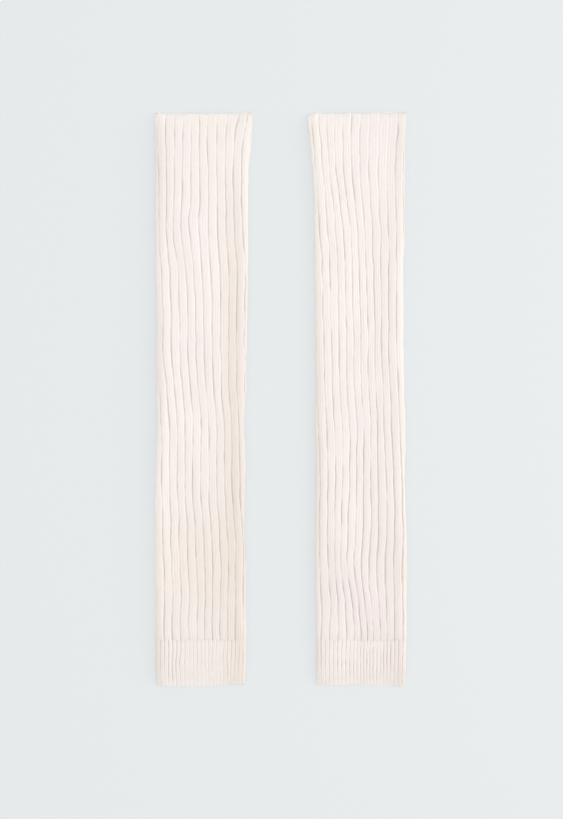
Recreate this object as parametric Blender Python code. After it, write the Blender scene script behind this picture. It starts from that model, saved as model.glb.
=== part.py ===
"""A pair of ribbed knit leg warmers lying flat, side by side, on a level surface.

Each leg warmer is a knitted tube, open at both ends and pressed flat, so that its front layer lies on its
back layer. The long leg tube is knitted in a broad rib, and the short ankle cuff in a rib half as wide.
The legs run along Y with the knee end at +Y, and the back layers rest on Z = 0.
"""

import math
from collections import namedtuple

import bmesh
import bpy

MM = 0.001

# Driving sizes of one leg warmer
WHOLE_LENGTH = 600 * MM
CUFF_LENGTH = 48 * MM
CENTRE_SPACING = 166.5 * MM  # between the centre lines of the two legs
RIBS_ROUND = 24
CUFF_RIBS_ROUND = 2 * RIBS_ROUND
LEG_WALL = 2.8 * MM  # one layer of cloth, measured through a rib
LEG_GROOVE = 1.3 * MM
CUFF_WALL = 2.4 * MM
CUFF_GROOVE = 0.9 * MM
LAYER_GAP = 0.6 * MM  # between the front layer and the back layer
SEAM_GAP = 0.3 * MM  # between the leg tube and the cuff

# How the cloth lies
FOLD_PUFF = 0.8 * MM  # the knit springs up beside each side fold
FOLD_PUFF_INSET = 7 * MM
FOLD_PUFF_REACH = 5 * MM
MOUTH_SCALLOP = 0.5 * MM  # each rib stands out past its grooves at an open end
MOUTH_BOW = 0.6 * MM
LEFT_BACK_SHOWS = 0.8 * MM  # how far the back layer shows past the front at the knee end
RIGHT_BACK_SHOWS = 1.6 * MM

# How finely the solids follow the cloth
LEG_STEPS = 25
CUFF_STEPS = 4
RIB_POINTS = (0.0, 0.28, 0.72)  # the groove and two shoulders, as shares of a rib's width
CUFF_RIB_POINTS = (0.0, 0.3, 0.7)
SHARP_ANGLE = math.radians(42)  # the grooves stay crisp, and the ribs' shoulders are shaded round

KNIT_COLOUR = (0.93, 0.87, 0.82, 1.0)
KNIT_ROUGHNESS = 0.95

# One row for each section across a leg, in millimetres: its height above the ankle hem, its two side folds,
# and where grooves 0, 3, 6 and 9 cross it, all measured from the leg's centre line. The grooves wander
# because the soft tube has turned a little, so ribs roll over the side folds.
Section = namedtuple("Section", "height left right groove_0 groove_3 groove_6 groove_9")

LEFT_SECTIONS = [
    Section(0, -46.5, 44.5, -30.5, -4.5, 18.5, 42),
    Section(25, -47, 45.5, -30.5, -4.5, 19, 43),
    Section(48, -47, 46.5, -30.5, -4.5, 19.5, 43.5),
    Section(85, -47, 46.5, -30.5, -4, 19.5, 43.5),
    Section(120, -48, 46.5, -31, -5, 20.5, 43.5),
    Section(160, -48, 44, -32.5, -6.5, 19, 42),
    Section(200, -48, 45, -32.5, -9, 16.5, 40.5),
    Section(240, -47, 45.5, -33, -9, 16, 40),
    Section(275, -45.5, 44, -33.5, -8.5, 16, 39),
    Section(310, -46, 46.5, -36, -11.5, 13, 37),
    Section(350, -46, 47, -40, -14, 11.5, 37),
    Section(390, -45.5, 47, -40, -14.5, 11, 37),
    Section(430, -46, 47.5, -42, -15.5, 9.5, 37.5),
    Section(470, -46.5, 48, -44, -21, 7.5, 35),
    Section(505, -47, 48, -45, -21, 7.5, 34),
    Section(540, -47, 48.5, -45.5, -20.5, 7, 33.5),
    Section(570, -47.5, 51.5, -46.5, -19.5, 6.5, 34.5),
    Section(600, -48, 52.5, -47.5, -19, 6.5, 36.5),
]

RIGHT_SECTIONS = [
    Section(0, -45.5, 45.5, -33, -7.5, 13.5, 35),
    Section(25, -45.5, 46.5, -32.5, -7.5, 13.5, 35.5),
    Section(48, -45, 47.5, -32.5, -7.5, 13, 36),
    Section(85, -45.5, 48.5, -32, -8.5, 11.5, 35.5),
    Section(120, -46.5, 48.5, -33.5, -13, 8.5, 34.5),
    Section(160, -46, 47.5, -34.5, -13, 11, 36),
    Section(200, -45, 46, -34.5, -12, 11, 35.5),
    Section(240, -46, 47, -34.5, -11, 10.5, 34),
    Section(275, -47.5, 47, -35.5, -11.5, 11, 32.5),
    Section(310, -45.5, 46, -37.5, -14, 8.5, 31.5),
    Section(350, -46, 45.5, -38, -14.5, 7.5, 29.5),
    Section(390, -46.5, 45, -39.5, -15.5, 7.5, 29.5),
    Section(430, -47, 44, -40, -16, 6, 29.5),
    Section(470, -46.5, 45, -42.5, -17.5, 5, 29.5),
    Section(505, -46.5, 45, -45, -21.5, 2, 28),
    Section(540, -48.5, 46, -47.5, -25.5, -0.5, 27.5),
    Section(570, -51.5, 47, -48.5, -27, -1, 28.5),
    Section(600, -55, 47.5, -52, -27, 0.5, 30),
]

TRACKED_GROOVES = (0, 3, 6, 9)

# One row for each soft swell where the front layer stands off the back one, in millimetres: its middle,
# how far it reaches up and across the leg, how high it stands, and how far it leans across for each
# millimetre of height.
Swell = namedtuple("Swell", "height across reach_up reach_across rise lean")

LEFT_SWELLS = [
    Swell(575, 30, 40, 16, 1.5, 0.2),
    Swell(455, -12, 42, 20, 1.7, -0.3),
    Swell(335, 14, 60, 18, 1.2, 0.1),
    Swell(270, -20, 45, 16, 1.4, -0.2),
    Swell(140, 6, 60, 22, 1.3, -0.1),
    Swell(290, -40, 170, 10, 1.3, 0.0),
]

RIGHT_SWELLS = [
    Swell(560, 16, 45, 20, 1.6, 0.1),
    Swell(470, -22, 50, 16, 1.4, -0.3),
    Swell(330, 8, 60, 20, 1.1, 0.1),
    Swell(215, 22, 50, 14, 1.3, -0.2),
    Swell(105, -4, 40, 22, 1.8, -0.4),
]


def smooth_curve(knots, place):
    """The value at a place on a smooth curve through (place, value) knots, in order of place."""
    last = len(knots) - 1
    i = 0
    while i < last - 1 and place > knots[i + 1][0]:
        i += 1

    def slope(j):
        before = knots[max(j - 1, 0)]
        after = knots[min(j + 1, last)]
        return (after[1] - before[1]) / (after[0] - before[0])

    start, start_value = knots[i]
    end, end_value = knots[i + 1]
    span = end - start
    t = (place - start) / span
    return (
        (2 * t**3 - 3 * t**2 + 1) * start_value
        + (t**3 - 2 * t**2 + t) * span * slope(i)
        + (3 * t**2 - 2 * t**3) * end_value
        + (t**3 - t**2) * span * slope(i + 1)
    )


def section_at(sections, height):
    """The section at any height in metres, with every size in metres."""
    values = [
        smooth_curve([(row.height * MM, row[column] * MM) for row in sections], height)
        for column in range(1, len(Section._fields))
    ]
    return Section(height, *values)


def fold_radius(wall):
    """Half the height of the flat tube, which is two layers of cloth and the gap between them."""
    return (2 * wall + LAYER_GAP) / 2


def perimeter(section, radius):
    return 2 * (section.right - section.left - 2 * radius) + 2 * math.pi * radius


def way_to(section, across, radius):
    """How far round the outside a point of the front layer lies, from the left fold's outermost line."""
    quarter = radius * math.pi / 2
    if across < section.left + radius:
        return radius * math.acos(min(1.0, (section.left + radius - across) / radius))
    if across > section.right - radius:
        flat = section.right - section.left - 2 * radius
        return quarter + flat + radius * math.asin(min(1.0, (across - section.right + radius) / radius))
    return quarter + across - section.left - radius


def way_to_rib(section, rib, radius):
    """How far round the outside a rib's edge lies. The grooves that no row tracks are spread evenly."""
    whole = perimeter(section, radius)
    places = (section.groove_0, section.groove_3, section.groove_6, section.groove_9)
    front = [(groove, way_to(section, across, radius)) for groove, across in zip(TRACKED_GROOVES, places)]
    last_groove, last_way = front[-1]
    knots = [(last_groove - RIBS_ROUND, last_way - whole), *front]
    knots += [(groove + RIBS_ROUND, way + whole) for groove, way in front[:2]]
    return smooth_curve(knots, rib % RIBS_ROUND) + whole * (rib // RIBS_ROUND)


def round_the_tube(section, way, radius):
    """(across, height above the floor, outward direction) of the ribs' tops at a way round the tube."""
    flat = section.right - section.left - 2 * radius
    quarter = radius * math.pi / 2
    way %= perimeter(section, radius)
    if quarter <= way < quarter + flat:
        return section.left + radius + way - quarter, 2 * radius, (0.0, 1.0)
    if 3 * quarter + flat <= way < 3 * quarter + 2 * flat:
        return section.right - radius - (way - 3 * quarter - flat), 0.0, (0.0, -1.0)
    if way < quarter:
        corner, turned = section.left + radius, math.pi - way / radius
    elif way < 3 * quarter + flat:
        corner, turned = section.right - radius, math.pi / 2 - (way - quarter - flat) / radius
    else:
        corner, turned = section.left + radius, -math.pi / 2 - (way - 3 * quarter - 2 * flat) / radius
    out = (math.cos(turned), math.sin(turned))
    return corner + radius * out[0], radius + radius * out[1], out


def rise_at(section, swells, across):
    """How far the front layer is lifted by the swells and by the spring of the side folds."""
    rise = 0.0
    for swell in swells:
        up = section.height - swell.height * MM
        aside = across - swell.across * MM - swell.lean * up
        reach = (up / (swell.reach_up * MM)) ** 2 + (aside / (swell.reach_across * MM)) ** 2
        rise += swell.rise * MM * math.exp(-reach)
    for inset in (across - section.left, section.right - across):
        rise += FOLD_PUFF * math.exp(-(((inset - FOLD_PUFF_INSET) / FOLD_PUFF_REACH) ** 2))
    return rise


def relief_share(out):
    """Ribs stand fully on the front and the folds, and are pressed flat where the back layer rests."""
    share = min(1.0, max(0.0, (out[1] + 1) / 0.6))
    return share * share * (3 - 2 * share)


def end_shift(section, across, share_up, in_groove, mouth, back_shows):
    """How far an open end's edge lies along the leg from its section. mouth is +1, -1 or, elsewhere, 0."""
    half_width = (section.right - section.left) / 2
    bow = MOUTH_BOW * (1 - (across / half_width) ** 2)
    return mouth * (bow - MOUTH_SCALLOP * in_groove + back_shows * (1 - share_up))


def ring(section, swells, centre, wall, ribs, groove_depths, mouth, back_shows):
    """The points of one section. A groove depth of None is a point of the plain inside."""
    radius = fold_radius(wall)
    points = []
    for rib, groove in zip(ribs, groove_depths):
        across, up, out = round_the_tube(section, way_to_rib(section, rib, radius), radius)
        depth = wall if groove is None else groove * relief_share(out)
        share_up = up / (2 * radius)
        up += share_up * rise_at(section, swells, across) - out[1] * depth
        along = section.height + end_shift(section, across, share_up, depth > 0, mouth, back_shows)
        points.append((centre + across - out[0] * depth, along - WHOLE_LENGTH / 2, up))
    return points


def rim_faces(mesh, outside, inside):
    """Close one end of the wall, from a fine outer ring to a coarser inner one."""
    each = len(outside) // len(inside)
    half = each // 2
    for n in range(len(inside)):
        m = (n + 1) % len(inside)
        edge = [outside[(n * each + j) % len(outside)] for j in range(each + 1)]
        for j in range(each):
            foot = inside[n] if j < half else inside[m]
            mesh.faces.new((edge[j], edge[j + 1], foot))
        mesh.faces.new((edge[half], inside[m], inside[n]))


def knitted_tube(name, material, leg, heights, mouth, knit):
    """A flattened tube with raised ribs outside and a plain inside, as one closed solid."""
    pitch = RIBS_ROUND / knit.ribs_round
    outer_ribs = [(n + share) * pitch for n in range(knit.ribs_round) for share in knit.rib_points]
    outer_grooves = [0.0 if share else knit.groove for n in range(knit.ribs_round) for share in knit.rib_points]
    inner_ribs = list(range(RIBS_ROUND))
    inner_grooves = [None] * RIBS_ROUND
    mesh = bmesh.new()
    outer, inner = [], []
    open_end = max(heights) if mouth > 0 else min(heights)
    for height in heights:
        section = section_at(leg.sections, height)
        ends_here = mouth if height == open_end else 0
        for rings, ribs, grooves in ((outer, outer_ribs, outer_grooves), (inner, inner_ribs, inner_grooves)):
            points = ring(
                section, leg.swells, leg.centre, knit.wall, ribs, grooves, ends_here, leg.back_shows * (mouth > 0)
            )
            rings.append([mesh.verts.new(point) for point in points])
    for rings in (outer, inner):
        for lower, upper in zip(rings, rings[1:]):
            for a in range(len(lower)):
                b = (a + 1) % len(lower)
                mesh.faces.new((lower[a], lower[b], upper[b], upper[a]))
    for outside, inside in ((outer[0], inner[0]), (outer[-1], inner[-1])):
        rim_faces(mesh, outside, inside)
    bmesh.ops.recalc_face_normals(mesh, faces=mesh.faces)
    data = bpy.data.meshes.new(name)
    mesh.to_mesh(data)
    mesh.free()
    data.shade_smooth()
    data.set_sharp_from_angle(angle=SHARP_ANGLE)
    data.materials.append(material)
    pair.objects.link(bpy.data.objects.new(name, data))


def evenly(start, end, steps):
    return [start + (end - start) * n / steps for n in range(steps + 1)]


def knit_material(name):
    material = bpy.data.materials.new(name)
    material.use_nodes = True
    shader = material.node_tree.nodes["Principled BSDF"]
    shader.inputs["Base Color"].default_value = KNIT_COLOUR
    shader.inputs["Roughness"].default_value = KNIT_ROUGHNESS
    shader.inputs["Metallic"].default_value = 0.0
    return material


Knit = namedtuple("Knit", "wall groove ribs_round rib_points")
Leg = namedtuple("Leg", "side centre sections swells back_shows")

BROAD_RIB = Knit(LEG_WALL, LEG_GROOVE, RIBS_ROUND, RIB_POINTS)
FINE_RIB = Knit(CUFF_WALL, CUFF_GROOVE, CUFF_RIBS_ROUND, CUFF_RIB_POINTS)


def leg_warmer(leg):
    leg_heights = evenly(CUFF_LENGTH + SEAM_GAP, WHOLE_LENGTH, LEG_STEPS)
    knitted_tube(f"{leg.side}_leg_tube", leg_knit, leg, leg_heights, 1, BROAD_RIB)
    cuff_heights = evenly(0.0, CUFF_LENGTH, CUFF_STEPS)
    knitted_tube(f"{leg.side}_ankle_cuff", cuff_knit, leg, cuff_heights, -1, FINE_RIB)


for thing in list(bpy.data.objects):
    bpy.data.objects.remove(thing)

pair = bpy.data.collections.new("leg_warmers")
bpy.context.scene.collection.children.link(pair)
leg_knit = knit_material("leg_knit")
cuff_knit = knit_material("cuff_knit")

# The pair is centred on the frame: half way between its outermost side folds.
outermost_left = min(row.left for row in LEFT_SECTIONS) * MM - CENTRE_SPACING / 2
outermost_right = max(row.right for row in RIGHT_SECTIONS) * MM + CENTRE_SPACING / 2
middle = (outermost_left + outermost_right) / 2
leg_warmer(Leg("left", -CENTRE_SPACING / 2 - middle, LEFT_SECTIONS, LEFT_SWELLS, LEFT_BACK_SHOWS))
leg_warmer(Leg("right", CENTRE_SPACING / 2 - middle, RIGHT_SECTIONS, RIGHT_SWELLS, RIGHT_BACK_SHOWS))
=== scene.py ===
# %% [markdown]
# A pair of ribbed leg warmers lies flat on a pale surface. Each one is a soft knitted tube, open at both
# ends and pressed flat: a long leg in a broad rib, and a short ankle cuff in a rib half as wide. The solids
# of the construction model come first, because everything here is made around them. They show where each
# piece lies, how wide it is and how high it stands, and they stay hidden under the finer cloth.

# %% Load the solids
import math
from collections import namedtuple

import bpy
import numpy as np
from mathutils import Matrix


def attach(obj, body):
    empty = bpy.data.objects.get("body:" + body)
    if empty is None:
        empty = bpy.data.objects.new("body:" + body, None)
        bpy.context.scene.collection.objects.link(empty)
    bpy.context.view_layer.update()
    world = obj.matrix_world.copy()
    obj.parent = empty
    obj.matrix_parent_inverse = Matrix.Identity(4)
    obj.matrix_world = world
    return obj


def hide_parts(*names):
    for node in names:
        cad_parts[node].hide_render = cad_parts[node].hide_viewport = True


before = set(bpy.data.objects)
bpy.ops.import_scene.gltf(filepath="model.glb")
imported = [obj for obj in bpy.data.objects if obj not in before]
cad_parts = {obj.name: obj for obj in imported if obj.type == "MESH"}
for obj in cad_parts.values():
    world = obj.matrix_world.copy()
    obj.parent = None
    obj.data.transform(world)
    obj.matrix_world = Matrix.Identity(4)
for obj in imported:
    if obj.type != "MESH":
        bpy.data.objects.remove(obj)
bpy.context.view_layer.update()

MM = 0.001

# %% [markdown]
# The camera looks straight down, as it did at the real pair. A long lens from two metres up keeps the long
# tubes from spreading towards their ends. The picture's middle lies a little nearer the ankles than the
# pair's own middle.

# %% Camera
PICTURE_HEIGHT = 857.5 * MM  # of the surface, from the picture's lower edge to its upper edge
LENS = 85.0
SENSOR = 36.0
AIM = (0.5 * MM, -10.5 * MM, 5 * MM)

camera_data = bpy.data.cameras.new("camera")
camera_data.lens = LENS
camera_data.sensor_width = SENSOR
camera = bpy.data.objects.new("camera", camera_data)
camera.location = (AIM[0], AIM[1], AIM[2] + PICTURE_HEIGHT * LENS / SENSOR)
bpy.context.scene.collection.objects.link(camera)
bpy.context.scene.camera = camera
print("the camera is", round(camera.location.z, 3), "m up")

# %% [markdown]
# A knitter measures a rib by its ridges and furrows, so the sizes below do too. The leg repeats three knit
# stitches and one purl stitch: the three stand up as a ridge, and the purl sinks between two ridges as a
# narrow furrow. The cuff repeats one knit and one purl stitch, so it has twice as many ridges. Both lie 24
# broad ribs round, and the furrows of one run into the furrows of the other.

# %% Sizes of the knitting
WHOLE_LENGTH = 600 * MM
CUFF_LENGTH = 48 * MM
LEFT_CENTRE = -83.5 * MM
RIGHT_CENTRE = 83.0 * MM
RIBS_ROUND = 24
LAYER_GAP = 0.6 * MM
SEAM_GAP = 0.05 * MM
COURSE = 1.55 * MM  # one row of stitches

Knit = namedtuple("Knit", "wall groove ribs_round wales_in_rib front_points back_points row_step roundness")
BROAD_RIB = Knit(2.8 * MM, 1.3 * MM, 24, 4, 17, 9, 2.3 * MM, 3.2)
FINE_RIB = Knit(2.4 * MM, 0.8 * MM, 48, 2, 12, 6, 1.2 * MM, 2.2)

# %% [markdown]
# A knitted tube never lies quite straight. It turns a little as it is laid down, so its ribs wander and
# roll over the side folds. One row for each section across a leg says, in millimetres, how high above the
# ankle hem it is, where its two side folds are, and where every third furrow crosses it. The rows are those
# of the solids, with the folds drawn a millimetre or so further out, where the soft outer ribs swell.

# %% How the legs lie
Section = namedtuple("Section", "height left right groove_0 groove_3 groove_6 groove_9")

LEFT_SECTIONS = [
    Section(0, -47.5, 46, -30.5, -4.5, 18.5, 42),
    Section(25, -48, 47.2, -30.5, -4.5, 19, 43),
    Section(48, -48, 47.8, -30.5, -4.5, 19.5, 43.5),
    Section(85, -48, 46.7, -30.5, -4, 19.5, 43.5),
    Section(120, -48.3, 46.7, -31, -5, 20.5, 43.5),
    Section(160, -48.7, 45, -32.5, -6.5, 19, 42),
    Section(200, -48.7, 45.9, -32.5, -9, 16.5, 40.5),
    Section(240, -47.8, 46.3, -33, -9, 16, 40),
    Section(275, -46.6, 44.8, -33.5, -8.5, 16, 39),
    Section(310, -47.1, 47, -36, -11.5, 13, 37),
    Section(350, -47.4, 47.6, -40, -14, 11.5, 37),
    Section(390, -47.1, 48.3, -40, -14.5, 11, 37),
    Section(430, -47.6, 48.9, -42, -15.5, 9.5, 37.5),
    Section(470, -47.9, 49.4, -44, -21, 7.5, 35),
    Section(505, -48.4, 49.4, -45, -21, 7.5, 34),
    Section(540, -48, 49.5, -45.5, -20.5, 7, 33.5),
    Section(570, -48.5, 52.5, -46.5, -19.5, 6.5, 34.5),
    Section(600, -49, 53.8, -47.5, -19, 6.5, 36.5),
]

RIGHT_SECTIONS = [
    Section(0, -46.3, 47, -33, -7.5, 13.5, 35),
    Section(25, -46.5, 48.1, -32.5, -7.5, 13.5, 35.5),
    Section(48, -46, 48.7, -32.5, -7.5, 13, 36),
    Section(85, -46.5, 48.7, -32, -8.5, 11.5, 35.5),
    Section(120, -46.7, 49.2, -33.5, -13, 8.5, 34.5),
    Section(160, -47, 48.5, -34.5, -13, 11, 36),
    Section(200, -46.5, 47, -34.5, -12, 11, 35.5),
    Section(240, -46.6, 47.3, -34.5, -11, 10.5, 34),
    Section(275, -47.4, 47.5, -35.5, -11.5, 11, 32.5),
    Section(310, -46.6, 46.3, -37.5, -14, 8.5, 31.5),
    Section(350, -47.2, 45.6, -38, -14.5, 7.5, 29.5),
    Section(390, -47, 45.8, -39.5, -15.5, 7.5, 29.5),
    Section(430, -48, 45.1, -40, -16, 6, 29.5),
    Section(470, -47.8, 46.4, -42.5, -17.5, 5, 29.5),
    Section(505, -48.2, 46.6, -45, -21.5, 2, 28),
    Section(540, -50.2, 47, -47.5, -25.5, -0.5, 27.5),
    Section(570, -52.8, 47.5, -48.5, -27, -1, 28.5),
    Section(600, -56, 48, -52, -27, 0.5, 30),
]

print(len(LEFT_SECTIONS), "sections on the left and", len(RIGHT_SECTIONS), "on the right")

# %% [markdown]
# The front layer also stands off the back one in long soft swells, which catch the light. Each row gives a
# swell's middle, how far it reaches up and across, how high it stands, and how far it leans across for each
# millimetre of height. Upright rows of the same kind serve two more things. Where the knit is eased open, its
# furrows grow shallow by a share of their depth, or deeper where the share is below nothing. And where the
# ribs are pushed aside, they are shifted across by some millimetres.

# %% Swells, eased places and pushes
Swell = namedtuple("Swell", "height across reach_up reach_across rise lean")

LEFT_SWELLS = [
    Swell(575, 30, 40, 16, 1.5, 0.2),
    Swell(455, -12, 42, 20, 1.7, -0.3),
    Swell(335, 14, 60, 18, 1.2, 0.1),
    Swell(270, -20, 45, 16, 1.4, -0.2),
    Swell(140, 6, 60, 22, 1.3, -0.1),
    Swell(290, -40, 170, 10, 1.3, 0.0),
]

RIGHT_SWELLS = [
    Swell(560, 16, 45, 20, 1.6, 0.1),
    Swell(470, -22, 50, 16, 1.4, -0.3),
    Swell(330, 8, 60, 20, 1.1, 0.1),
    Swell(215, 22, 50, 14, 1.3, -0.2),
    Swell(105, -4, 40, 22, 1.8, -0.4),
]

Eased = namedtuple("Eased", "height across reach_up reach_across share lean", defaults=[0.0])

LEFT_EASED = [
    Eased(110, -26, 40, 9, 0.5),
    Eased(300, 28, 40, 8, 0.3),
    Eased(80, -39, 50, 5, -0.6),
    Eased(200, 0, 170, 60, -0.15),
    Eased(30, -30, 26, 14, -0.6),
    Eased(594, -38, 12, 4, -0.6),
    Eased(594, -3, 12, 4, -0.4),
    Eased(594, 16, 16, 6, 0.4),
    Eased(592, 38, 12, 4, -0.8),
    Eased(590, 47, 16, 4, -0.8),
    Eased(528, 0, 45, 60, -0.1),
    Eased(545, 33, 45, 4, -0.4),
    Eased(345, 37, 45, 4, -0.4),
    Eased(240, 38, 45, 4, 0.3),
    Eased(235, 28, 40, 4, -0.35),
    Eased(340, -31, 60, 5, -0.45),
    Eased(120, -32, 80, 4, -0.35),
    Eased(175, 8, 22, 30, -0.25),
    Eased(385, -2, 22, 6, 0.35),
]

RIGHT_EASED = [
    Eased(575, 25, 28, 18, 0.75),
    Eased(90, -32, 40, 9, 0.4),
    Eased(568, 39, 26, 4, -0.7),
    Eased(515, -12, 30, 20, -0.25),
    Eased(520, 20, 60, 25, 0.2),
    Eased(130, 0, 100, 60, -0.3),
    Eased(20, 0, 30, 60, -0.5),
    Eased(425, -34, 60, 4, -0.45),
    Eased(150, -33, 45, 4, -0.35),
    Eased(360, -22, 40, 4, -0.35),
    Eased(410, 8, 45, 12, -0.35),
    Eased(375, 31, 60, 5, -0.5),
    Eased(335, 39, 24, 4, -0.5),
    Eased(235, 40, 50, 4, -0.5),
    Eased(190, 10, 45, 14, -0.4),
    Eased(85, 6, 40, 16, -0.5),
    Eased(130, 30, 22, 5, -0.5),
    Eased(385, 38, 16, 4, 0.4),
    Eased(594, -46, 12, 4, -0.6),
    Eased(594, -10, 12, 4, -0.9),
]

Push = namedtuple("Push", "height across reach_up reach_across shift lean", defaults=[0.0])

LEFT_PUSHES = [
    Push(600, 46, 18, 6, 2.8),
    Push(600, 37, 18, 6, 2.4),
    Push(520, -25, 24, 28, 0.9),
    Push(489, -10, 11, 12, -1.6),
    Push(432, -34, 11, 10, 0.8),
    Push(426, -10, 18, 10, -0.9),
    Push(418, 16, 40, 10, 0.8),
    Push(360, 40, 13, 8, -1.3),
    Push(214, -38, 24, 14, -0.9),
    Push(172, -22, 14, 22, 1.1),
    Push(150, 40, 16, 10, 1.8),
    Push(97, -22, 12, 20, 0.7),
    Push(70, -10, 10, 25, -0.7),
    Push(38, -29, 8, 9, 0.8),
    Push(20, -24, 8, 9, -0.5),
]

RIGHT_PUSHES = [
    Push(585, -42, 14, 12, -0.9),
    Push(582, 40, 10, 8, 1.4),
    Push(515, -35, 20, 16, 0.9),
    Push(452, -38, 14, 12, 1.1),
    Push(455, 8, 12, 18, -0.6),
    Push(370, -5, 14, 30, 0.7),
    Push(215, -30, 15, 18, 0.7),
    Push(132, -12, 12, 10, -1.1),
    Push(85, -30, 14, 12, 0.9),
    Push(58, -2, 14, 22, 1.5),
]

print(len(LEFT_SWELLS) + len(RIGHT_SWELLS), "swells")
print(len(LEFT_EASED) + len(RIGHT_EASED), "eased places")
print(len(LEFT_PUSHES) + len(RIGHT_PUSHES), "pushes")

# %% [markdown]
# The colour carries painted shade. It darkens softly towards the ankles and along the outer folds, where the
# light falls off. At some open ends and corners it darkens less, as painted light against their contact
# shadow. Rows of the same kind say where, and how far the colour goes from the clean white to the deep one.
# More rows tint it: towards straw where their strength is above nothing, towards rose where it is below.

# %% Patches of painted shade
Patch = namedtuple("Patch", "height across reach_up reach_across strength lean", defaults=[0.0])

LEFT_PAINTED_SHADE = [
    Patch(280, 50, 280, 20, 1.1),
    Patch(370, 32, 130, 12, 0.45),
    Patch(25, -44, 34, 6, 1.0),
    Patch(25, 42, 30, 12, 0.5),
    Patch(120, 25, 130, 35, 0.85),
    Patch(60, -30, 110, 25, 0.5),
    Patch(0, 0, 40, 80, 0.55),
    Patch(0, -12, 5, 36, -0.7),
    Patch(560, -45, 90, 14, 0.8),
    Patch(600, -34, 12, 16, -0.7),
    Patch(350, -46, 70, 14, 0.6),
    Patch(435, -8, 60, 22, -0.2),
]

RIGHT_PAINTED_SHADE = [
    Patch(560, 48, 80, 20, 0.6),
    Patch(300, 26, 220, 17, 0.7),
    Patch(565, 45, 70, 8, 0.6),
    Patch(330, 47, 260, 6, 0.6),
    Patch(85, -34, 75, 7, 0.5),
    Patch(25, -44, 30, 7, 0.4),
    Patch(25, 42, 30, 8, 0.5),
    Patch(230, -48, 190, 18, 0.95),
    Patch(100, 48, 110, 22, 0.7),
    Patch(110, 5, 70, 35, 0.5),
    Patch(0, 0, 50, 90, 0.85),
    Patch(0, 0, 5, 36, -0.55),
    Patch(8, 43, 12, 5, 0.8),
    Patch(598, 38, 12, 12, -0.35),
    Patch(420, -14, 70, 16, -0.15),
]

LEFT_TINTS = [
    Patch(350, 30, 150, 9, 1.0),
    Patch(150, 44, 130, 16, 0.8),
    Patch(135, 5, 55, 45, 0.8),
    Patch(215, 0, 35, 25, -0.8),
    Patch(340, -48, 110, 8, -0.8),
    Patch(30, 36, 40, 14, 0.7),
    Patch(28, -4, 34, 20, -0.8),
    Patch(60, -46, 80, 6, 0.6),
]

RIGHT_TINTS = [
    Patch(250, -46, 250, 10, 0.4),
    Patch(110, 46, 35, 12, 0.8),
    Patch(24, -46, 40, 8, 0.6),
    Patch(8, 43, 14, 5, 1.0),
    Patch(560, 46, 70, 8, -0.7),
    Patch(70, 2, 72, 45, -0.9),
    Patch(320, 48, 170, 8, 0.5),
    Patch(585, 18, 25, 25, -1.0),
]

print(len(LEFT_PAINTED_SHADE) + len(RIGHT_PAINTED_SHADE), "patches and", len(LEFT_TINTS) + len(RIGHT_TINTS), "tints")

# %% [markdown]
# A smooth curve through a few knots turns such a table into cloth. This one passes through every knot, and
# its slope there follows the knots on both sides, so it has no corners. Its arithmetic runs on whole arrays
# at once, which keeps a mesh of a hundred thousand points quick.

# %% Smooth curves
def smooth_curve(places, values, at):
    """The values at some places on the curves through the knots. Each row of values is a curve."""
    places = np.asarray(places, float)
    values = np.asarray(values, float)
    padded = np.concatenate([places[:1], places, places[-1:]])
    ends = np.concatenate([values[..., :1], values, values[..., -1:]], axis=-1)
    slopes = (ends[..., 2:] - ends[..., :-2]) / (padded[2:] - padded[:-2])
    i = np.clip(np.searchsorted(places, at) - 1, 0, len(places) - 2)
    span = places[i + 1] - places[i]
    t = (at - places[i]) / span
    return (
        (2 * t**3 - 3 * t**2 + 1) * values[..., i]
        + (t**3 - 2 * t**2 + t) * span * slopes[..., i]
        + (3 * t**2 - 2 * t**3) * values[..., i + 1]
        + (t**3 - t**2) * span * slopes[..., i + 1]
    )


def eased_step(value, start, end):
    """0 before start, 1 after end, and a soft step between."""
    t = np.clip((value - start) / (end - start), 0, 1)
    return t * t * (3 - 2 * t)


def unevenness(seed, ribs_round, spacing, heights, ribs):
    """Smooth random numbers of about -1 to 1: a curve along each rib, blended between neighbours."""
    random = np.random.default_rng(seed)
    knots = np.arange(-1, WHOLE_LENGTH / spacing + 2) * spacing
    curves = smooth_curve(knots, random.normal(0, 0.5, (ribs_round, len(knots))), heights)
    first = np.floor(ribs).astype(int)
    blend = eased_step(ribs - first, 0, 1)
    near, far = curves[first % ribs_round], curves[(first + 1) % ribs_round]
    return (near * (1 - blend[:, None]) + far * blend[:, None]).T


print("a curve through 0, 1 and 0 is", smooth_curve([0, 1, 2], [0, 1, 0], 0.5), "a quarter of the way")

# %% [markdown]
# Now the tube itself. Seen from an open end it is two flat layers joined by two rounded folds, so a point of
# the cloth is found by walking a certain way round that outline. A furrow's place in the table says how far
# to walk. The furrows between two listed ones, and those of the back layer, are spread smoothly.

# %% Walking round the flat tube
GROOVES_LISTED = (0, 3, 6, 9)
FOLD_SQUARENESS = 0.65  # 1 is a half-round fold, and less brings the flat top nearer to its edge


def fold_radius(wall):
    return (2 * wall + LAYER_GAP) / 2


def sections_at(sections, heights):
    """Left fold, right fold and the listed furrows, in metres, with one row for each height."""
    table = np.array(sections, float).T * MM
    return [column[:, None] for column in smooth_curve(table[0], table[1:], heights)]


def way_to(left, right, across, radius):
    """How far round the outline a place across the front layer lies."""
    quarter = radius * math.pi / 2
    near = radius * np.arccos(np.clip((left + radius - across) / radius, 0, 1) ** (1 / FOLD_SQUARENESS))
    turn = np.arcsin(np.clip((across - right + radius) / radius, 0, 1) ** (1 / FOLD_SQUARENESS))
    far = quarter + right - left - 2 * radius + radius * turn
    flat = quarter + across - left - radius
    return np.where(across < left + radius, near, np.where(across > right - radius, far, flat))


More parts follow.
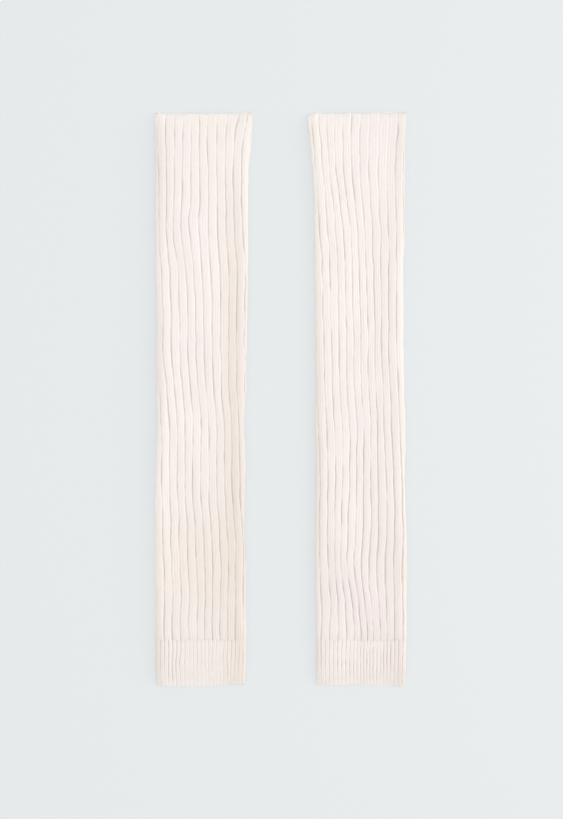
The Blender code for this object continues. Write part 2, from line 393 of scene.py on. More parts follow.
def ways_to_ribs(left, right, grooves, ribs, radius):
    """How far round the outline each rib's place lies, at each height."""
    whole = 2 * (right - left - 2 * radius) + 2 * math.pi * radius
    front = [way_to(left, right, across, radius) for across in grooves]
    places = [groove + turn * RIBS_ROUND for turn in (-1, 0, 1) for groove in GROOVES_LISTED]
    ways = np.hstack([way + turn * whole for turn in (-1, 0, 1) for way in front])
    return smooth_curve(places, ways, ribs), whole


def round_the_tube(left, right, way, whole, radius):
    """Where a way round the outline leads: across, up, and the direction out of the cloth."""
    flat = right - left - 2 * radius
    quarter = radius * math.pi / 2
    way = way % whole
    stretches = [way < quarter, way < quarter + flat, way < 3 * quarter + flat, way < 3 * quarter + 2 * flat]
    zero = np.zeros_like(way)
    right_turn = math.pi / 2 - (way - quarter - flat) / radius
    left_turn = -math.pi / 2 - (way - 3 * quarter - 2 * flat) / radius
    turns = [math.pi - way / radius, zero + math.pi / 2, right_turn, zero - math.pi / 2]
    angle = np.select(stretches, turns, left_turn)
    corners = [
        left + radius + zero,
        left + radius + way - quarter,
        right - radius + zero,
        right - radius - (way - 3 * quarter - flat),
    ]
    corner = np.select(stretches, corners, left + radius + zero)
    out_across, out_up = np.cos(angle), np.sin(angle)
    aside = np.sign(out_across) * np.abs(out_across) ** FOLD_SQUARENESS
    return corner + radius * aside, radius + radius * out_up, out_across, out_up


def bumps_at(rows, heights, across):
    """The sum of a table's soft bumps, in the table's own units."""
    total = np.zeros_like(across)
    for row in rows:
        middle_height, middle, reach_up, reach_across, size, lean = row
        up = heights - middle_height * MM
        aside = across - middle * MM - lean * up
        total += size * np.exp(-((up / (reach_up * MM)) ** 2) - (aside / (reach_across * MM)) ** 2)
    return total


print("the broad rib's tube is", round(2 * fold_radius(BROAD_RIB.wall) / MM, 1), "mm high")

# %% [markdown]
# The open ends are not cut off straight. At the knee each rib ends in its own small tongue, the folds poke
# up a little, and the back layer shows past the front one. A row gives such a tongue's place across the leg,
# its reach, and how far it stands out on the front layer and on the back layer.

# %% Edges of the open ends
Tongue = namedtuple("Tongue", "across reach front back")

LEFT_KNEE_EDGE = [
    Tongue(-45, 3.5, 1.4, 1.6),
    Tongue(0, 3, 1.0, 0.5),
    Tongue(44, 5, 0.8, 1.0),
    Tongue(5, 42, 0.8, 0.6),
    Tongue(52, 4, 0.4, 0.9),
]

RIGHT_KNEE_EDGE = [
    Tongue(-46, 3.5, 1.4, 1.2),
    Tongue(-56, 5, -2.0, -2.0),
    Tongue(-11, 3, 1.2, 0.6),
    Tongue(25, 20, 0.6, 1.2),
    Tongue(46, 5, 0.8, 1.0),
    Tongue(-8, 42, 0.8, 0.6),
]

LEFT_HEM_EDGE = [Tongue(-38, 5, 0.8, 0.6), Tongue(-14, 32, 1.6, 1.4), Tongue(46, 5, -0.8, -0.4)]
RIGHT_HEM_EDGE = [Tongue(-44, 6, -0.6, 0.4), Tongue(-12, 4, 0.5, 0.2), Tongue(42, 6, 1.8, 1.5)]

END_REACH = 14 * MM  # how far along the leg an edge's tongues are felt
RIB_TONGUE = 0.9 * MM
FRONT_SET_BACK = 0.9 * MM  # the front layer ends a little short of the back one
CHAIN_LOOP = 0.2 * MM  # the loops of the bound-off edge, one for each stitch


def edge_shift(tongues, across, share_up):
    """How far the open edge stands out, in metres."""
    shift = np.zeros_like(across)
    for row in tongues:
        size = row.front * share_up + row.back * (1 - share_up)
        shift += size * MM * np.exp(-(((across - row.across * MM) / (row.reach * MM)) ** 2))
    return shift


print(len(LEFT_KNEE_EDGE) + len(RIGHT_KNEE_EDGE), "tongues at the knee edges")

# %% [markdown]
# The relief of a rib is a flat-topped arch with steep sides. Its knit columns, which knitters call wales,
# each stand up a little, with a shallow line between. More points of the mesh go to the steep sides, and
# fewer to the back layer, which lies on its ribs: there the ridges touch the surface and the furrows don't.

# %% Relief of the ribs
WALE_LINE = 0.28 * MM
WALES_START = 0.05  # where a broad rib's first knit wale starts, as a share of the rib
WALE_WIDTH = 0.3
WALES_END = 0.9  # of the way from a rib's middle to its furrow, where its wales end
PURL_SHARE = 0.06  # the half of a purl wale that lies at each side of a rib, as a share of the rib
CROWDING = 0.07  # how far the mesh's points crowd towards a furrow, as a share of a rib
FRONT_RIBS = (-1, 13)  # the broad ribs that show from above or lie round a fold


def rib_points(knit):
    """The place of each column of the mesh, counted in broad ribs from the first listed furrow."""
    pitch = RIBS_ROUND / knit.ribs_round
    points = []
    for n in range(knit.ribs_round):
        rib = FRONT_RIBS[0] + n * pitch
        count = knit.front_points if rib < FRONT_RIBS[1] else knit.back_points
        even = np.arange(count) / count
        points.append(rib + pitch * (even - CROWDING * np.sin(2 * math.pi * even)))
    return np.append(np.concatenate(points), FRONT_RIBS[0] + RIBS_ROUND)


def rib_relief(ribs, knit):
    """How far below a ridge's top the cloth lies, as a share of a furrow's depth, and the wale lines."""
    share = (ribs * knit.ribs_round / RIBS_ROUND) % 1
    aside = np.abs(2 * share - 1)
    arch = (1 - aside**knit.roundness) ** 0.5
    swing = np.cos(2 * math.pi * (share - WALES_START) / WALE_WIDTH)
    wale_tops = (knit.wales_in_rib > 2) * (0.5 - 0.5 * swing)
    return 1 - arch, 1 - wale_tops * (aside < WALES_END), share


def wales_at(share, knit):
    """A count that is whole in the middle of each wale, with the furrow's purl wale at 0."""
    knit_wales = knit.wales_in_rib - 1
    inside = 0.5 + (share - PURL_SHARE) / (1 - 2 * PURL_SHARE) * knit_wales
    before = 0.5 * share / PURL_SHARE
    after = knit_wales + 0.5 + 0.5 * (share - 1 + PURL_SHARE) / PURL_SHARE
    return np.where(share < PURL_SHARE, before, np.where(share > 1 - PURL_SHARE, after, inside))


for knit in (BROAD_RIB, FINE_RIB):
    print(knit.ribs_round, "ribs round have", len(rib_points(knit)) - 1, "columns")

# %% [markdown]
# A tube with a wall is a ring in two ways: round the leg, and from the outside over the rim to the inside
# and back. So each piece starts as one flat grid, which is rolled up both ways at once. Its columns go
# round the leg. Its rows start at the open edge, go along the outside to the seam where the two knits meet,
# come back along the plain inside, and end over the rounded rim, where they started.
# The grid brings a tidy UV map, which then carries the stitches: U counts wales, and V counts courses.

# %% Rows of the grid
RIM_ROWS = 6
RIM_BULGE = 1.0 * MM
INSIDE_ROWS = 12
EDGE_ROWS = 14  # close rows along the open edge, where the last stitches are bound off
EDGE_STEP = 0.45 * MM
SEAM_CORNER = 0.12 * MM  # between the last two rows, so that the corner at the seam shades crisply


def grid_rows(length, knit):
    """For each row: how far from the open edge, how far through the wall, and how far over the rim."""
    close = np.arange(EDGE_ROWS) * EDGE_STEP
    count = int(round((length - EDGE_ROWS * EDGE_STEP) / knit.row_step))
    outside = np.linspace(EDGE_ROWS * EDGE_STEP, length, count + 1)
    outside = np.concatenate([close, outside[:-1], [length - SEAM_CORNER, length]])
    inside = np.linspace(length, 0, INSIDE_ROWS + 1)
    inside = np.concatenate([[length, length - SEAM_CORNER], inside[1:]])
    turn = np.linspace(0, math.pi, RIM_ROWS + 1)[1:-1]
    from_edge = np.concatenate([outside, inside, 0 * turn, [0]])
    depth = np.concatenate([0 * outside, 0 * inside + 1, (1 + np.cos(turn)) / 2, [0]])
    rim = np.concatenate([0 * outside, 0 * inside, np.sin(turn), [0]])
    return from_edge, depth, rim


print(len(grid_rows(WHOLE_LENGTH - CUFF_LENGTH, BROAD_RIB)[0]), "rows along a leg")

# %% [markdown]
# Hands and washing pull every rib about in its own way, so nothing in a real knit is quite even. Each kind of
# unevenness below has a random draw of its own, the distance between the knots of its curves, and a size.

# %% Unevenness
Uneven = namedtuple("Uneven", "draw spacing size")

RIB_WANDER = Uneven(0, 15 * MM, 0.42 * MM)
RIB_TREMBLE = Uneven(4, 6 * MM, 0.22 * MM)  # a shorter, smaller wander
RIB_SWELLING = Uneven(2, 30 * MM, 0.18 * MM)
FOLD_WOBBLE = Uneven(6, 12 * MM, 0.35 * MM)  # of the side folds
FURROW_CHANGE = Uneven(1, 20 * MM, 0.6)  # of a furrow's depth, as a share
FURROW_TREMBLE = Uneven(5, 6 * MM, 0.45)
LINE_CHANGE = Uneven(7, 25 * MM, 0.8)  # of the lines between the wales, as a share of their depth
EASE_CHANGE = Uneven(3, 90 * MM, 0.7)  # of how far the bound-off edge eases each rib, as a share
END_CHANGE = Uneven(8, 90 * MM, 0.8 * MM)  # of where each rib ends
SEAM_CHANGE = Uneven(9, 90 * MM, 0.7 * MM)  # of where each broad rib runs into the fine ones
RIDGE = 0.5  # a ridge lies half a rib past its furrow

Leg = namedtuple("Leg", "side centre sections swells eased pushes patches tints knee_edge hem_edge seed")


def uneven(leg, kind, heights, ribs, curves=RIBS_ROUND):
    """One kind of unevenness of one leg, at each height and each rib's place."""
    return kind.size * unevenness(leg.seed + kind.draw, curves, kind.spacing, heights, ribs)


print("a rib may wander", round(RIB_WANDER.size / MM, 2), "mm aside")
print("a ridge may swell", round(RIB_SWELLING.size / MM, 2), "mm")

# %% [markdown]
# First comes each rib's way round the tube. It follows the furrows of the table, is pushed aside in places on
# the front layer, and wanders a little. Towards the seam the leg draws in to the height of the thinner cuff.

# %% Where the ribs run
SEAM_TAPER = 9 * MM  # the leg draws in over this much of its end

Outline = namedtuple("Outline", "left right across up out_across out_up share_up")


def outline_of(leg, knit, heights, ribs):
    """The side folds at each height, and where each rib's place lies on the outline round them."""
    rows = heights[:, None]
    left, right, *grooves = sections_at(leg.sections, heights)
    wobble = uneven(leg, FOLD_WOBBLE, heights, np.array([0.0, 1.0]), 2)
    left, right = left + wobble[:, :1], right + wobble[:, 1:]
    radius = fold_radius(knit.wall) + 0 * rows
    if knit is BROAD_RIB:
        lower = fold_radius(knit.wall) - fold_radius(FINE_RIB.wall)
        radius = radius - lower * (1 - eased_step(rows, CUFF_LENGTH, CUFF_LENGTH + SEAM_TAPER))
    ways, whole = ways_to_ribs(left, right, grooves, ribs, radius)
    across, up, _, _ = round_the_tube(left, right, ways, whole, radius)
    ways += bumps_at(leg.pushes, rows, across) * MM * up / (2 * radius)
    ways += uneven(leg, RIB_WANDER, heights, ribs)
    ways += uneven(leg, RIB_TREMBLE, heights, ribs)
    across, up, out_across, out_up = round_the_tube(left, right, ways, whole, radius)
    return Outline(left, right, across, up, out_across, out_up, up / (2 * radius))


print("a leg draws in over its last", round(SEAM_TAPER / MM), "mm")

# %% [markdown]
# A furrow is now deep and now shallow along its rib. The bound-off edge holds the ribs open, so the furrows
# fade towards it, and its stitches lie on the cloth like a small chain. Under the weight of the cloth the
# back layer keeps less of its relief. No furrow is so deep that it would come through the wall.

# %% How deep the furrows are
EDGE_EASE = 0.8  # the share of its depth that a furrow loses at the bound-off edge
EDGE_EASE_REACH = 17 * MM
SHORTEST_EASE = 4 * MM
MOST_DEEPENED = -1.2
MOST_EASED = 0.9
SHALLOWEST = 0.25  # the least share of its depth that unevenness leaves a furrow
THINNEST = 0.8 * MM  # of the wall, at the bottom of a deep furrow
BACK_RELIEF = 0.75  # how much of its relief the back layer keeps
BACK_STARTS = -0.3  # how far the cloth has turned down there, where -1 is all the way
CHAIN_RISE = 0.2 * MM
CHAIN_WIDTH = 1.0 * MM
LOOP_MIDDLE = 0.65  # of the chain's rise, which swings once for each stitch
LOOP_SWING = 0.35


def furrows_of(leg, knit, outline, heights, ribs, from_edge):
    """How far the cloth lies below the ribs' tops, in metres, and how hollow each furrow is."""
    reach = EDGE_EASE_REACH * (1 + uneven(leg, EASE_CHANGE, heights, ribs))
    edge_eased = EDGE_EASE * (1 - eased_step(from_edge, 0, np.maximum(reach, SHORTEST_EASE)))
    eased = edge_eased + bumps_at(leg.eased, heights[:, None], outline.across) * outline.share_up
    eased = np.clip(eased, MOST_DEEPENED, MOST_EASED)
    change = 1 + uneven(leg, FURROW_CHANGE, heights, ribs)
    change += uneven(leg, FURROW_TREMBLE, heights, ribs)
    hollow = np.maximum(change, SHALLOWEST) * (1 - eased)

    under = BACK_RELIEF + (1 - BACK_RELIEF) * eased_step(outline.out_up, -1, BACK_STARTS)
    furrow, wale_line, share = rib_relief(ribs, knit)
    lined = WALE_LINE * (1 + uneven(leg, LINE_CHANGE, heights, ribs))
    relief = knit.groove * hollow * under * furrow + np.maximum(lined, 0) * wale_line * (1 - furrow)
    relief = np.minimum(relief, knit.wall - THINNEST)
    loops = LOOP_MIDDLE + LOOP_SWING * np.cos(2 * math.pi * wales_at(share, knit))
    near_edge = np.exp(-(((from_edge - CHAIN_WIDTH) / CHAIN_WIDTH) ** 2))
    return relief - CHAIN_RISE * loops * outline.share_up * near_edge, hollow


print("the wall is nowhere thinner than", round(THINNEST / MM, 1), "mm under a furrow")

# %% [markdown]
# The front layer rises in its swells, and springs up a little beside the folds. The folds themselves and the
# open ends are pressed flatter. At an open end each rib's tongue stands out by its own amount, and each loop
# of the bound-off yarn makes a small scallop.

# %% How the cloth rises and how it ends
FOLD_PUFF = 0.4 * MM
FOLD_PUFF_INSET = 7 * MM
FOLD_PUFF_REACH = 5 * MM
FOLD_PRESSED = 0.15  # the share of the height that the pressed side folds lose
FOLD_PRESSED_REACH = 4 * MM
END_PRESSED = 0.7  # and the open ends, where a single row of stitches is bound off
END_PRESSED_REACH = 20 * MM


def rise_of(leg, outline, heights, ribs):
    """How far the front layer stands up, in metres."""
    rise = bumps_at(leg.swells, heights[:, None], outline.across) * MM
    rise += uneven(leg, RIB_SWELLING, heights, ribs + RIDGE)
    for inset in (outline.across - outline.left, outline.right - outline.across):
        rise += FOLD_PUFF * np.exp(-(((inset - FOLD_PUFF_INSET) / FOLD_PUFF_REACH) ** 2))
    return rise


def pressed_of(outline, from_edge):
    """The share of its height that the cloth loses."""
    pressed = END_PRESSED * np.clip(1 - from_edge / END_PRESSED_REACH, 0, 1) ** 2
    for inset in (outline.across - outline.left, outline.right - outline.across):
        pressed = 1 - (1 - pressed) * (1 - FOLD_PRESSED * np.exp(-((inset / FOLD_PRESSED_REACH) ** 2)))
    return pressed


def end_shift(leg, knit, outline, heights, ribs, tongues):
    """How far each rib would stand out at an open end, in metres."""
    furrow, _, share = rib_relief(ribs, knit)
    shift = edge_shift(tongues, outline.across, outline.share_up)
    shift = shift - RIB_TONGUE * furrow - FRONT_SET_BACK * outline.share_up
    shift = shift + CHAIN_LOOP * (np.cos(2 * math.pi * wales_at(share, knit)) - 1)
    return shift + uneven(leg, END_CHANGE, heights, ribs + RIDGE)


print("an open end loses", END_PRESSED, "of its height")

# %% [markdown]
# Now every point of the grid gets its place. Its column says which rib it is on, and its row says how far it
# is from the open edge, through the wall and over the rim. An open end of 1 is the knee, and one of -1 is the
# ankle hem.

# %% Place the cloth
SEAM_REACH = 7 * MM  # how far from the seam the ribs feel its unevenness


def cloth_places(leg, knit, ribs, from_edge, depth, rim, open_end):
    """The places of a grid's points, as an array of rows by columns by X, Y and Z."""
    edge = WHOLE_LENGTH - RIM_BULGE if open_end > 0 else RIM_BULGE
    heights = edge - open_end * from_edge
    rows, from_edge, depth, rim = heights[:, None], from_edge[:, None], depth[:, None], rim[:, None]
    outline = outline_of(leg, knit, heights, ribs)
    relief, hollow = furrows_of(leg, knit, outline, heights, ribs, from_edge)
    sunk = relief * (1 - depth) + knit.wall * depth

    tongues = leg.knee_edge if open_end > 0 else leg.hem_edge
    shift = end_shift(leg, knit, outline, heights, ribs, tongues)
    along = rows + open_end * ((1 - eased_step(from_edge, 0, END_REACH)) * shift + RIM_BULGE * rim)
    seam = uneven(leg, SEAM_CHANGE, heights, ribs)
    along = along + seam * np.exp(-(((rows - CUFF_LENGTH) / SEAM_REACH) ** 2))

    rise = rise_of(leg, outline, heights, ribs)
    x = leg.centre + outline.across - outline.out_across * sunk
    z = (outline.up - outline.out_up * sunk + outline.share_up * rise) * (1 - pressed_of(outline, from_edge))
    places = np.stack(np.broadcast_arrays(x, along - WHOLE_LENGTH / 2, z), axis=-1)
    return places, heights, outline.across, np.broadcast_to(hollow, x.shape)


print("the seam's unevenness is felt", round(SEAM_REACH / MM), "mm away")

# %% [markdown]
# A shader is a graph of small nodes, which is hard to read as a list of links. The class below wraps one
# socket, so that a sum of two wrapped sockets adds its own Math node, and a whole pattern can be written as
# a formula. One method adds every other kind of node.

# %% A socket that can be added and multiplied
class Wire:
    def __init__(self, tree, socket):
        self.tree = tree
        self.socket = socket

    def node(self, kind, settings=None, output=0, **inputs):
        """Add a node, set it up, then give its inputs their values or links."""
        node = self.tree.nodes.new(kind)
        for name, value in (settings or {}).items():
            setattr(node, name, value)
        for name, value in inputs.items():
            key = name.replace("_", " ")
            socket = node.inputs[int(key[1:]) if key[0] == "n" and key[1:].isdigit() else key]
            if isinstance(value, Wire):
                self.tree.links.new(value.socket, socket)
            else:
                socket.default_value = value
        return Wire(self.tree, node.outputs[output])

    def math(self, operation, *others):
        inputs = {f"n{i}": value for i, value in enumerate(others)}
        return self.node("ShaderNodeMath", {"operation": operation}, **inputs)

    def __add__(self, other):
        return self.math("ADD", self, other)

    def __sub__(self, other):
        return self.math("SUBTRACT", self, other)

    def __rsub__(self, other):
        return self.math("SUBTRACT", other, self)

    def __mul__(self, other):
        return self.math("MULTIPLY", self, other)

    def __pow__(self, other):
        return self.math("POWER", self, other)

    __radd__ = __add__
    __rmul__ = __mul__

    def wave(self):
        """0 to 1 and back, once for each whole step, highest at the whole numbers."""
        return 0.5 + 0.5 * self.math("COSINE", self * (2 * math.pi))

    def distance_from_whole(self):
        """0 at each whole number and 0.5 half way between two of them."""
        return self.math("ABSOLUTE", self.math("FRACT", self + 0.5) - 0.5)

    def step(self, start, end):
        """0 before start, 1 after end, and a soft step between."""
        settings = {"interpolation_type": "SMOOTHSTEP"}
        return self.node("ShaderNodeMapRange", settings, Value=self, From_Min=start, From_Max=end)

    def between(self, low, high, blend="MIX"):
        """A colour mixed from two, by this value."""
        settings = {"data_type": "RGBA", "blend_type": blend, "clamp_factor": False}
        return self.node("ShaderNodeMix", settings, output=2, n0=self, n6=low, n7=high)


print("wires ready")

# %% [markdown]
# The yarn is a soft off-white wool blend. Close up, each knit stitch is a small V of two slanting strands,
# and each purl stitch in a furrow is a short bar across it. Both are too fine for the mesh, so they are a
# bump, laid out on the UV map's wales and courses. The colour drifts slowly between a warm and a pinkish
# white. Painted shade darkens the furrows, the more the deeper they are, and the hollows between the strands
# of a stitch. The yarn's own unevenness varies the colour a little too.

# %% Knit material
CREAM = (0.905, 0.852, 0.803, 1)
BLUSH = (0.90, 0.836, 0.805, 1)
# the white under the most painted shade
SHADED_WHITE = (0.837, 0.778, 0.738, 1)
# painted shade: the dark colour towards which the furrows and the hollows between strands are darkened
PAINTED_FURROW_COLOUR = (0.69, 0.62, 0.575, 1)
STRAW_TINT = (1.0, 0.985, 0.955, 1)
ROSE_TINT = (0.998, 0.984, 1.006, 1)
CREAM_ENDS = 0.4  # in the noise that drifts between the first two
BLUSH_STARTS = 0.62

STITCH_HEIGHT = 0.28 * MM
FIBRE_HEIGHT = 0.10 * MM
STRAND_SLANT = 1.3  # how many courses a strand climbs for each wale's width
PURL_HEIGHT = 0.7  # as a share of a knit stitch's height
PURL_ENDS = 0.3  # wales from the middle of a furrow
KNIT_STARTS = 0.7

FURROW_SHADE = 0.34  # how far painted shade darkens a furrow, for each share of its depth
FURROW_SPARED = 0.15  # and how much less than that
STITCH_SHADE = 0.10  # the same painted shade, between the strands of a stitch
YARN_SHADE = 0.10  # and where the yarn is uneven
SPARED = 0.05

DRIFT_SCALE = 14.0  # steps of the noise in a metre
YARN_SCALE = 260.0
FIBRE_SCALE = 2200.0

WOOL = {
    "Roughness": 0.95,
    "Specular IOR Level": 0.15,
    "Subsurface Weight": 0.4,
    "Subsurface Radius": (1.0, 1.0, 1.0),
    "Subsurface Scale": 1.5 * MM,
    "Sheen Weight": 0.12,
    "Sheen Roughness": 0.6,
}


def carried(graph, name):
    """A value that the points of the cloth carry."""
    return graph.node("ShaderNodeAttribute", {"attribute_name": name}, output=2)


def knit_material(name, wales_in_rib):
    material = bpy.data.materials.new(name)
    material.use_nodes = True
    tree = material.node_tree
    shader = tree.nodes["Principled BSDF"]
    graph = Wire(tree, None)
    uv = graph.node("ShaderNodeUVMap", {"uv_map": "UVMap"})
    place = graph.node("ShaderNodeTexCoord", output=3)
    wales = graph.node("ShaderNodeSeparateXYZ", Vector=uv)
    courses = graph.node("ShaderNodeSeparateXYZ", output=1, Vector=uv)

    aside = wales.distance_from_whole()
    from_furrow = (wales * (1 / wales_in_rib)).distance_from_whole()
    in_furrow = 1 - from_furrow.step(PURL_ENDS / wales_in_rib, KNIT_STARTS / wales_in_rib)
    strand = (courses - aside * STRAND_SLANT).wave()
    plump = 1 - (aside * 4 - 1) ** 2
    knit_stitch = strand * 0.5 + plump * 0.5
    purl_stitch = courses.wave() * PURL_HEIGHT
    stitch = knit_stitch * (1 - in_furrow) + purl_stitch * in_furrow
    fibre = graph.node("ShaderNodeTexNoise", Vector=place, Scale=FIBRE_SCALE, Detail=3.0, Roughness=0.6)
    relief = stitch + fibre * (FIBRE_HEIGHT / STITCH_HEIGHT)
    bump = graph.node("ShaderNodeBump", Height=relief, Distance=STITCH_HEIGHT, Strength=1.0)

    drift = graph.node("ShaderNodeTexNoise", Vector=place, Scale=DRIFT_SCALE, Detail=2.0)
    white = drift.step(CREAM_ENDS, BLUSH_STARTS).between(CREAM, BLUSH)
    # painted shade from the patch rows darkens the white
    white = carried(graph, "painted_shade").between(white, SHADED_WHITE)
    for kind, tint in (("straw", STRAW_TINT), ("rose", ROSE_TINT)):
        white = carried(graph, kind).between(white, tint, "MULTIPLY")
    yarn = graph.node("ShaderNodeTexNoise", Vector=place, Scale=YARN_SCALE, Detail=3.0, Roughness=0.7)
    # painted shade in the furrows, darker where a furrow is deeper, and between the strands; the yarn's
    # unevenness adds its own tone
    furrow_shade = in_furrow * (carried(graph, "hollow") * FURROW_SHADE - FURROW_SPARED)
    shade = furrow_shade + (1 - knit_stitch) * STITCH_SHADE + yarn * YARN_SHADE - SPARED
    colour = shade.math("MAXIMUM", shade, 0.0).between(white, PAINTED_FURROW_COLOUR)

    tree.links.new(colour.socket, shader.inputs["Base Color"])
    tree.links.new(bump.socket, shader.inputs["Normal"])
    for socket, value in WOOL.items():
        shader.inputs[socket].default_value = value
    return material


broad_knit = knit_material("broad_rib_knit", BROAD_RIB.wales_in_rib)
fine_knit = knit_material("fine_rib_knit", FINE_RIB.wales_in_rib)
print("materials:", broad_knit.name, "and", fine_knit.name)

# %% [markdown]
# To roll a grid, each of its points is first found by the column and the row it belongs to, and then moved.
# Its UV map is read in the same way, before it is given the count of wales and courses. The last column
# closes the round, so it starts a rib again.

# %% Lay the stitches on a grid
HAIR = 1e-6  # of a rib, so that a furrow counts as the start of its own rib


def lay_stitches(mesh, ribs, heights, knit):
    """Count wales along U and courses along V."""
    layer = mesh.uv_layers[0]
    layer.name = "UVMap"
    chart = np.empty(len(mesh.loops) * 2)
    layer.data.foreach_get("uv", chart)
    chart = chart.reshape(-1, 2)
    column = np.rint(chart[:, 0] * (len(ribs) - 1)).astype(int)
    row = np.rint(chart[:, 1] * (len(heights) - 1)).astype(int)
    share = rib_relief(ribs, knit)[2]
    share[-1] = 0
    wales = np.floor(ribs * knit.ribs_round / RIBS_ROUND + HAIR) * knit.wales_in_rib + wales_at(share, knit)
    courses = heights / COURSE
    chart = np.stack([wales[column], courses[row]], axis=-1)
    layer.data.foreach_set("uv", chart.ravel())


print("a course is", round(COURSE / MM, 2), "mm high")

# %% [markdown]
# Each point also carries how far painted shade darkens its colour, how it is tinted, and how hollow its
# furrow is, which sets the painted shade in the furrow, for the material to read. Then the meeting columns
# and the meeting rows are merged, which closes the skin, and its faces are turned outwards.

# %% Roll a grid into a tube
MERGED_WITHIN = 0.01 * MM
STRONGEST = 2  # the most that a point carries of each of these


def knitted_tube(name, leg, knit, length, open_end, material):
    ribs = rib_points(knit)
    from_edge, depth, rim = grid_rows(length, knit)
    places, heights, across, hollow = cloth_places(leg, knit, ribs, from_edge, depth, rim, open_end)
    columns, rows = len(ribs) - 1, len(heights) - 1

    bpy.ops.object.select_all(action="DESELECT")
    bpy.ops.mesh.primitive_grid_add(x_subdivisions=columns, y_subdivisions=rows, size=2, calc_uvs=True)
    tube = bpy.context.object
    tube.name = tube.data.name = name
    mesh = tube.data
    flat = np.empty(len(mesh.vertices) * 3)
    mesh.vertices.foreach_get("co", flat)
    flat = flat.reshape(-1, 3)
    column = np.rint((flat[:, 0] + 1) / 2 * columns).astype(int)
    row = np.rint((flat[:, 1] + 1) / 2 * rows).astype(int)
    mesh.vertices.foreach_set("co", places[row, column].ravel())
    # painted shade and tints from the patch rows, for the material
    deeper = bumps_at(leg.patches, heights[:, None], across)
    tinted = bumps_at(leg.tints, heights[:, None], across)
    for kind, amount in (("painted_shade", deeper), ("straw", tinted), ("rose", -tinted), ("hollow", hollow)):
        attribute = mesh.attributes.new(kind, "FLOAT", "POINT")
        attribute.data.foreach_set("value", np.clip(amount, 0, STRONGEST)[row, column])
    lay_stitches(mesh, ribs, heights, knit)

    bpy.ops.object.mode_set(mode="EDIT")
    bpy.ops.mesh.select_all(action="SELECT")
    bpy.ops.mesh.remove_doubles(threshold=MERGED_WITHIN)
    bpy.ops.mesh.normals_make_consistent(inside=False)
    bpy.ops.object.mode_set(mode="OBJECT")
    mesh.shade_smooth()
    mesh.materials.append(material)
    mesh.update()
    print(name, "has", sum(len(p.vertices) - 2 for p in mesh.polygons), "triangles")
    return tube


print("points closer than", round(MERGED_WITHIN / MM, 2), "mm are merged")

# %% [markdown]
# Each leg warmer is two such tubes that meet where the rib changes. Both belong to one leg and are made from
# its tables, so they meet without a step. The cut all round each tube, which is its front and its back, is
# worked out from its sections, and the leg's is printed.

# %% Make the pair
LEGS = [
    Leg("left", LEFT_CENTRE, LEFT_SECTIONS, LEFT_SWELLS, LEFT_EASED, LEFT_PUSHES,
        LEFT_PAINTED_SHADE, LEFT_TINTS, LEFT_KNEE_EDGE, LEFT_HEM_EDGE, 11),
    Leg("right", RIGHT_CENTRE, RIGHT_SECTIONS, RIGHT_SWELLS, RIGHT_EASED, RIGHT_PUSHES,
        RIGHT_PAINTED_SHADE, RIGHT_TINTS, RIGHT_KNEE_EDGE, RIGHT_HEM_EDGE, 23),
]

for leg in LEGS:
    leg_length = WHOLE_LENGTH - CUFF_LENGTH - SEAM_GAP - RIM_BULGE
    tube = knitted_tube(f"{leg.side}_broad_rib", leg, BROAD_RIB, leg_length, 1, broad_knit)
    cuff = knitted_tube(f"{leg.side}_fine_rib", leg, FINE_RIB, CUFF_LENGTH - RIM_BULGE, -1, fine_knit)
    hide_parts(f"{leg.side}_leg_tube")
    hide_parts(f"{leg.side}_ankle_cuff")
    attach(tube, "root")
    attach(cuff, "root")
    round_leg = 2 * np.mean([row.right - row.left for row in leg.sections]) * MM
    cuff_rows = [row for row in leg.sections if row.height * MM <= CUFF_LENGTH]
    round_cuff = 2 * np.mean([row.right - row.left for row in cuff_rows]) * MM
    print(leg.side, "leg warmer is cut", round(round_leg, 3), "m round")

# %% [markdown]
# The pair lies on a plain pale surface under a large soft light from the right, low enough to draw the
# furrows and a faint shadow along each left fold. The rest of the light comes from a wide cloth overhead,
# and evenly from all round. The surface is a lit table under thin paper, which glows a little, so the
# shadows beside the cloth stay faint.

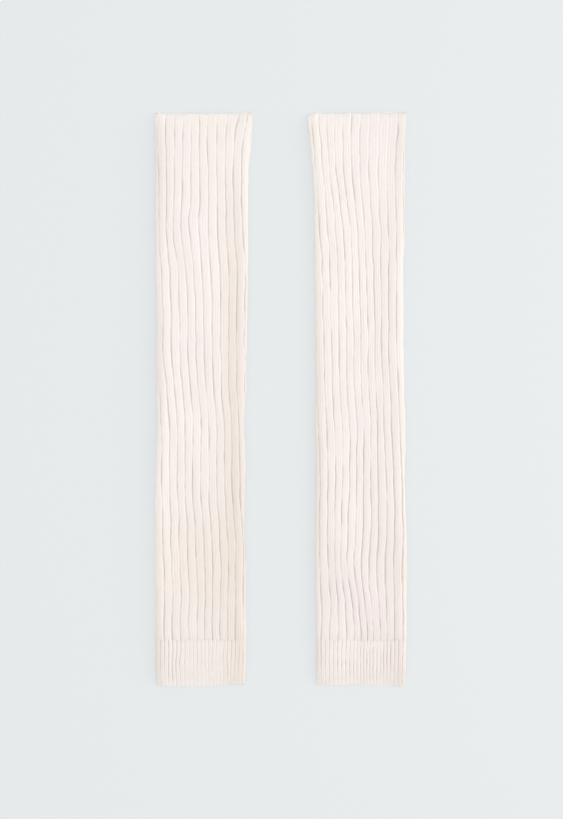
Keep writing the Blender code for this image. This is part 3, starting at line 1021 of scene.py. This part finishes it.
# %% Floor and light
FLOOR_COLOUR = (0.72, 0.747, 0.754, 1)
FLOOR_LIGHT = 1.10  # how bright a white paper would look here
FLOOR_GLOW = 0.5  # the share of its brightness that shines up through the paper
FLOOR_SIZE = 60.0  # metres, so that even from low down it reaches nearly to the horizon
FLOOR_DROP = 0.2 * MM  # below the cloth, so that no face of the cloth lies in the floor
EVEN_LIGHT = 0.93

bpy.ops.object.select_all(action="DESELECT")
bpy.ops.mesh.primitive_plane_add(size=FLOOR_SIZE, location=(0, 0, -FLOOR_DROP))
floor = bpy.context.object
floor.name = "pale_floor"
paper = bpy.data.materials.new("pale_paper")
paper.use_nodes = True
shader = paper.node_tree.nodes["Principled BSDF"]
shader.inputs["Base Color"].default_value = [part * (1 - FLOOR_GLOW) for part in FLOOR_COLOUR[:3]] + [1]
shader.inputs["Emission Color"].default_value = FLOOR_COLOUR
shader.inputs["Emission Strength"].default_value = FLOOR_GLOW * FLOOR_LIGHT
shader.inputs["Roughness"].default_value = 0.9
shader.inputs["Specular IOR Level"].default_value = 0.1
floor.data.materials.append(paper)

Lamp = namedtuple("Lamp", "name place size power")

LAMPS = [
    Lamp("soft_key", (2.0, 0.1, 0.65), 1.1, 14.0),
    Lamp("overhead_cloth", (0.0, 0.0, 3.2), 3.4, 14.0),
]

for lamp in LAMPS:
    data = bpy.data.lights.new(lamp.name, "AREA")
    data.shape = "DISK"
    data.size = lamp.size
    data.energy = lamp.power
    light = bpy.data.objects.new(lamp.name, data)
    light.location = lamp.place
    light.rotation_mode = "QUATERNION"
    light.rotation_quaternion = light.location.to_track_quat("Z", "Y")
    light.visible_camera = False
    bpy.context.scene.collection.objects.link(light)
    print(lamp.name, "is", round(light.location.length, 2), "m away")

world = bpy.data.worlds.new("even_light")
world.use_nodes = True
world.node_tree.nodes["Background"].inputs["Color"].default_value = (1.0, 1.0, 1.0, 1)
world.node_tree.nodes["Background"].inputs["Strength"].default_value = EVEN_LIGHT
bpy.context.scene.world = world
bpy.context.scene.view_settings.view_transform = "Standard"
